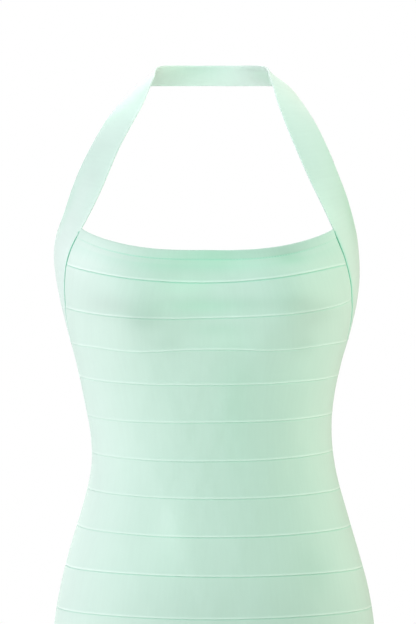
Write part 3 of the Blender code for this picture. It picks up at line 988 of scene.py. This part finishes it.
def strapPlaces():
    # places along the strap, close together at its two ends, and how full and how raised the cloth is at each.
    start = np.array(strap["endRows"])
    places = strap["lowPlace"] + start / strap["endPitch"]
    rest = np.linspace(places[-1], len(strap["rows"]) - 1, strap["stations"])[1:]
    place = np.concatenate([places, rest, rest[-2::-1], places[::-1]])
    beadRows = np.array(band["ridge"], float)
    rounding = np.interp(start, *strap["endRound"])
    bead = np.interp(start, beadRows[:, 0], np.maximum(beadRows[:, 1], 0))
    full, lift = np.ones(len(place)), np.zeros(len(place))
    full[: len(start)], full[-len(start) :] = rounding, rounding[::-1]
    lift[: len(start)], lift[-len(start) :] = bead, bead[::-1]
    return place, full, lift


def strapSection():
    # the strap's cross-section from its outer to its inner edge: each row's share of the width, its inset,
    # faces, dent and tone, and whether it belongs to the outer or the inner edge.
    edge = np.array(strap["edge"], float)
    share = np.linspace(1, 0, strap["middleRows"] + 2)[1:-1, None]
    outerPart, innerPart = edge * (-1, 1, 1, 1, 1), edge[::-1]
    middle = blend(innerPart[0], outerPart[-1], share)
    shares = np.concatenate([np.ones(len(edge)), share[:, 0], np.zeros(len(edge))])
    isOuter = np.concatenate([np.ones(len(edge)), np.zeros(len(middle) + len(edge))])[:, None]
    return shares[:, None], np.concatenate([outerPart, middle, innerPart]), isOuter, isOuter[::-1]


def makeStrap():
    # the strap: a flat doubled section with rounded, stitched edges, carried from one side seam up over the
    # shoulder, round the nape and down to the other side seam.
    place, full, lift = strapPlaces()
    shares, rows, isOuter, isInner = strapSection()
    count = len(place)
    mirrored = np.arange(count) > count // 2
    innerHeight, innerAngle, outerHeight, outerAngle = strapEdges(place, mirrored * 1.0)
    tilt = frontSeams[3]["tilt"] * np.where(mirrored, -1, 1) * np.clip(-place, 0, 1)
    innerHeight, outerHeight = innerHeight + tilt, outerHeight + tilt
    innerAngle = np.where(mirrored, 2 * np.pi - innerAngle, innerAngle)
    outerAngle = np.where(mirrored, 2 * np.pi - outerAngle, outerAngle)
    across = np.linspace(0, 1, 25)[:, None]
    line = figurePoint(blend(innerAngle, outerAngle, across), blend(innerHeight, outerHeight, across))
    width = np.linalg.norm(np.diff(line, axis=0), axis=-1).sum(0)

    # stitch dents fade in towards the corner, and the edges keep clear of the bands beside them
    corner = strap["cornerPlace"]
    fade = strap["stitchFade"] / strap["rowPitch"]
    innerStitch = np.clip((place - (corner - fade)) / fade, 0, 1)
    outerStitch = np.clip(place / 0.15, 0, 1)
    dent = rows[:, [3]] * (isInner * innerStitch + isOuter * 0.7 * outerStitch)
    besideBands = np.clip((corner + 0.02 - place) * 20, 0, 1)
    besideBack = np.clip((0.02 - place) * 20, 0, 1)
    spot = shares * width + rows[:, [0]]
    spot = spot + strap["gap"] * besideBands * (1 - shares) - strap["gap"] * besideBack * shares
    angle = blend(innerAngle, outerAngle, spot / width)
    height = blend(innerHeight, outerHeight, spot / width)
    outer = rows[:, [1]] - dent + lift * (1 - isOuter) * (1 - isInner)
    inner = rows[:, [2]] + 0 * outer
    middleFace = (outer + inner) / 2
    outFace = middleFace + (outer - middleFace) * full
    inFace = middleFace + (inner - middleFace) * full
    points = np.concatenate([clothPoint(angle, height, outFace), clothPoint(angle, height, inFace)[::-1]])

    # painted highlights on the edges, painted shade in the seam beside the bands, and painted light towards the nape
    paintedLightRight, paintedLightLeft = strap["paintedLightEdge"]
    paintedShading = rows[:, [4]] * (1 - 0.85 * isOuter) * np.where(mirrored, paintedLightRight, paintedLightLeft)
    seamPaintedShade = 0.7 * np.clip((0.6 - rows[:, [0]]) / 0.6, 0, 1) * isInner * besideBands
    nearSeamPaintedShade = 0.3 * np.clip((4 - rows[:, [0]]) / 4, 0, 1) * isInner * besideBands * np.where(mirrored, 0.2, 1)
    seamPaintedShade = np.maximum(seamPaintedShade, nearSeamPaintedShade) * beside(np.where(mirrored, -1, 1) + 0 * height, height)
    paintedShading = np.where(seamPaintedShade > 0, np.maximum(paintedShading, 0) * (1 - besideBands) + seamPaintedShade, paintedShading)
    paintedShading = np.concatenate([paintedShading, paintedShading[::-1]])
    paintedLight = strap["paintedLight"]
    turnBack = np.clip((place - paintedLight["turnFrom"]) / (paintedLight["turnTo"] - paintedLight["turnFrom"]), 0, 1)
    paintedLightShare = paintedLight["share"] * np.clip((place - paintedLight["from"]) / (paintedLight["to"] - paintedLight["from"]), 0, 1)
    isOutFace = (np.arange(len(paintedShading)) < len(rows))[:, None]
    paintedShading = paintedShading - paintedLightShare * (1 - turnBack * isOutFace)
    # painted light and shade in soft patches
    paintedShadingPatch = paintedShadingPatchShare(np.concatenate([angle, angle[::-1]]), np.concatenate([height, height[::-1]]))
    paintedShadingPatch = paintedShadingPatch * np.where(isOutFace, 1 - turnBack, turnBack)[..., None]
    alongU, aroundV = walked(points[len(rows) // 2]), walked(points[:, count // 4])
    piece = addShell("strap_cloth", points, alongU, aroundV, paintedShading, paintedShadingPatch, strapKnit)
    face = points[: len(rows)]
    widest = float(np.linalg.norm(np.diff(face, axis=0), axis=-1).sum(0).max())
    return piece, alongU[-1] * mm, widest, meshArea(face)


strapPiece, strapLength, strapWidth, strapArea = makeStrap()
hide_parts("halter_strap")
print("strap made:", round(strapLength, 3), "m long")

# stitches: each is a short bent thread that sinks in at both ends, in mm
stitch = {
    "pitch": 3.0,
    "length": 2.2,
    "radius": 0.18,
    "endShare": 0.35,  # of the radius, at a stitch's ends
    "sink": 0.35,
    "rings": 5,
    "sides": 6,
    "hemStand": -0.06,  # off the figure, in a hem's stitch groove and on the strap
    "strapStand": 0.02,
}


def stitchShape(line, look):
    # stitches at even steps along a line on the cloth: each is a tube of rings round a shallow arch, thin at its
    # ends. The line's angles, heights and distances off the figure give points and faces, stitch by stitch.
    way = walked(clothPoint(*line))
    centres = np.arange(look["pitch"] / 2, way[-1] - look["pitch"] / 2, look["pitch"])
    along = np.linspace(-0.5, 0.5, look["rings"]) * look["length"]
    at = centres[:, None] + along
    spot = [np.interp(at, way, values) for values in line]
    arch = 1 - (2 * along / look["length"]) ** 2
    spot[2] = spot[2] - look["sink"] * (1 - arch)
    middle = clothPoint(*spot)
    normal = figureNormal(spot[0], spot[1])
    run = np.gradient(middle, axis=1)
    run /= np.linalg.norm(run, axis=-1, keepdims=True)
    sideways = np.cross(normal, run)
    turn = np.arange(look["sides"]) / look["sides"] * 2 * np.pi
    thick = look["radius"] * mm * (look["endShare"] + (1 - look["endShare"]) * np.sqrt(arch))[None, :, None, None]
    ring = np.cos(turn)[:, None] * sideways[:, :, None, :] + np.sin(turn)[:, None] * normal[:, :, None, :]
    points = (middle[:, :, None, :] + ring * thick).reshape(-1, 3)
    rings, sides = look["rings"], look["sides"]
    k, j = np.meshgrid(np.arange(rings - 1), np.arange(sides), indexing="ij")
    after = (j + 1) % sides
    quads = [k * sides + j, k * sides + after, (k + 1) * sides + after, (k + 1) * sides + j]
    quads = np.stack(quads, -1).reshape(-1, 4)
    caps = np.stack([np.arange(sides)[::-1], (rings - 1) * sides + np.arange(sides)])
    first = np.arange(len(centres))[:, None, None] * rings * sides
    return points, (quads + first).reshape(-1, 4), (caps + first).reshape(-1, sides)


def addStitches(name, lines, look, material):
    # the stitches of one or more lines, joined in one mesh.
    points, faces = np.zeros((0, 3)), []
    for line in lines:
        more, quads, caps = stitchShape(line, look)
        faces += (quads + len(points)).tolist() + (caps + len(points)).tolist()
        points = np.concatenate([points, more])
    mesh = bpy.data.meshes.new(name)
    mesh.from_pydata(points.tolist(), [], faces)
    mesh.polygons.foreach_set("use_smooth", np.ones(len(mesh.polygons), bool))
    piece = addPiece(name, mesh, material)
    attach(piece, "root")
    return piece


def hemLine(seam, centre, reach, inset):
    # angles and heights of a line that runs a hem's stitch inset from its edge.
    angle = centre + np.linspace(-reach, reach, 400)
    return angle, seamHeight(seam, angle) + inset, np.full(len(angle), stitch["hemStand"])


neckReach = float(strapSideAngle(np.array(680.0))) - 0.035  # radians to each side, short of the strap
sideReach = np.pi / 2 - 0.02  # and short of the side seams
# the band that a line belongs to, the seam it follows, the middle angle, its reach to each side, and which way the
# cloth lies from the edge
hemLines = {
    "neckline_stitches": ("front_cloth_01", frontSeams[0], 0, neckReach, -1),
    "back_top_stitches": ("back_cloth_01", backSeams[0], np.pi, sideReach, -1),
    "front_hem_stitches": ("front_cloth_17", frontSeams[-1], 0, sideReach, 1),
    "back_hem_stitches": ("back_cloth_15", backSeams[-1], np.pi, sideReach, 1),
}
for name, (owner, seam, centre, reach, way) in hemLines.items():
    line = hemLine(seam, centre, reach, way * band["hemStitchInset"])
    addStitches(name, [line], stitch, hemThread)


def strapLine(side, inner, firstPlace):
    # a line along one half of the strap, a stitch inset from its inner or outer edge.
    place = np.linspace(firstPlace, len(strap["rows"]) - 1, 900)
    innerHeight, innerAngle, outerHeight, outerAngle = strapEdges(place, float(side < 0))
    chord = figurePoint(innerAngle, innerHeight) - figurePoint(outerAngle, outerHeight)
    part = strap["stitchInset"] / np.linalg.norm(chord, axis=-1)
    part = part if inner else 1 - part
    angle, height = blend(innerAngle, outerAngle, part), blend(innerHeight, outerHeight, part)
    return np.where(side > 0, angle, 2 * np.pi - angle), height, np.full(len(place), stitch["strapStand"])


for sideName, side in (("left", 1), ("right", -1)):
    for edgeName, inner, firstPlace in (("inner", True, 1.35), ("outer", False, 0.1)):
        line = strapLine(side, inner, firstPlace)
        addStitches(f"strap_{edgeName}_stitches_{sideName}", [line], stitch, hemThread)


# bar tack at the neckline's corners: a close row of long stitches, from its top height down, in mm
tack = {
    "pitch": 2.86,
    "length": 2.7,
    "radius": 0.2,
    "endShare": 0.35,
    "sink": 0.3,
    "rings": 5,
    "sides": 6,
    "top": 687.0,
    "tall": 1.6,
    "rows": 6,
    "reach": 1.3,  # to each side of the seam
    "stand": 0.32,  # off the figure
}


def addTack(name, side):
    # long stitches that lie side by side across the seam's end, one to a row.
    lines = []
    for down in np.linspace(0, tack["tall"], tack["rows"]):
        height = tack["top"] - down
        middle = float(strapSideAngle(np.array(height)))
        step = float(turnFor(np.array(middle), np.array(height), tack["reach"]))
        angle = side * np.linspace(middle - step * 0.9, middle + step * 1.3, 12)
        lines.append((angle, np.full(12, height), np.full(12, tack["stand"])))
    return addStitches(name, lines, tack, tackThread)


tackPieces = [addTack("corner_tack_left", 1), addTack("corner_tack_right", -1)]
print("stitches made")

for name, piece in made.items():
    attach(piece, "root")
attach(strapPiece, "root")
print("strap cut", round(strapWidth * 1000), "x", round(strapLength * 1000), "mm")

# a plain pale floor where the wearer would stand, in metres
floorLook = {
    "height": -1.40,
    "radius": 2.0,
    "rings": 12,
    "spokes": 96,
    "color": (0.86, 0.89, 0.88),
    "cloudColor": (0.80, 0.83, 0.82),
    "cloudScale": 0.8,
    "cloudShare": 0.08,
    "roughness": 0.9,
}


def floorMaterial(name, look):
    # pale, with a faint cloudiness.
    material, tree, shader = newMaterial(name)
    whole = addNode(tree, "ShaderNodeTexCoord").outputs["Object"]
    cloud = addNode(tree, "ShaderNodeTexNoise", s0=whole, Scale=look["cloudScale"], Detail=3.0).outputs["Fac"]
    shade = mixColors(tree, times(tree, cloud, look["cloudShare"]), look["color"], look["cloudColor"])
    tree.links.new(shade, shader.inputs["Base Color"])
    shader.inputs["Roughness"].default_value = look["roughness"]
    return material


def addFloor(look):
    # a disc: rings of points round a middle point, each a share of the radius away.
    far = np.linspace(0, 1, look["rings"] + 1)[1:] * look["radius"]
    turn = np.arange(look["spokes"]) / look["spokes"] * 2 * np.pi
    level = np.full((len(far), len(turn)), look["height"])
    ring = np.stack([np.outer(far, np.cos(turn)), np.outer(far, np.sin(turn)), level], -1)
    points = np.concatenate([[[0, 0, look["height"]]], ring.reshape(-1, 3)])
    j = np.arange(look["spokes"])
    after = (j + 1) % look["spokes"]
    faces = np.stack([0 * j, 1 + j, 1 + after], -1).tolist()
    for k in range(look["rings"] - 1):
        base = 1 + k * look["spokes"]
        outside = base + look["spokes"]
        faces += np.stack([base + j, outside + j, outside + after, base + after], -1).tolist()
    mesh = bpy.data.meshes.new("floor")
    mesh.from_pydata(points.tolist(), [], faces)
    addPiece("floor", mesh, floorMaterial("paleFloor", look))


addFloor(floorLook)
print("floor laid")
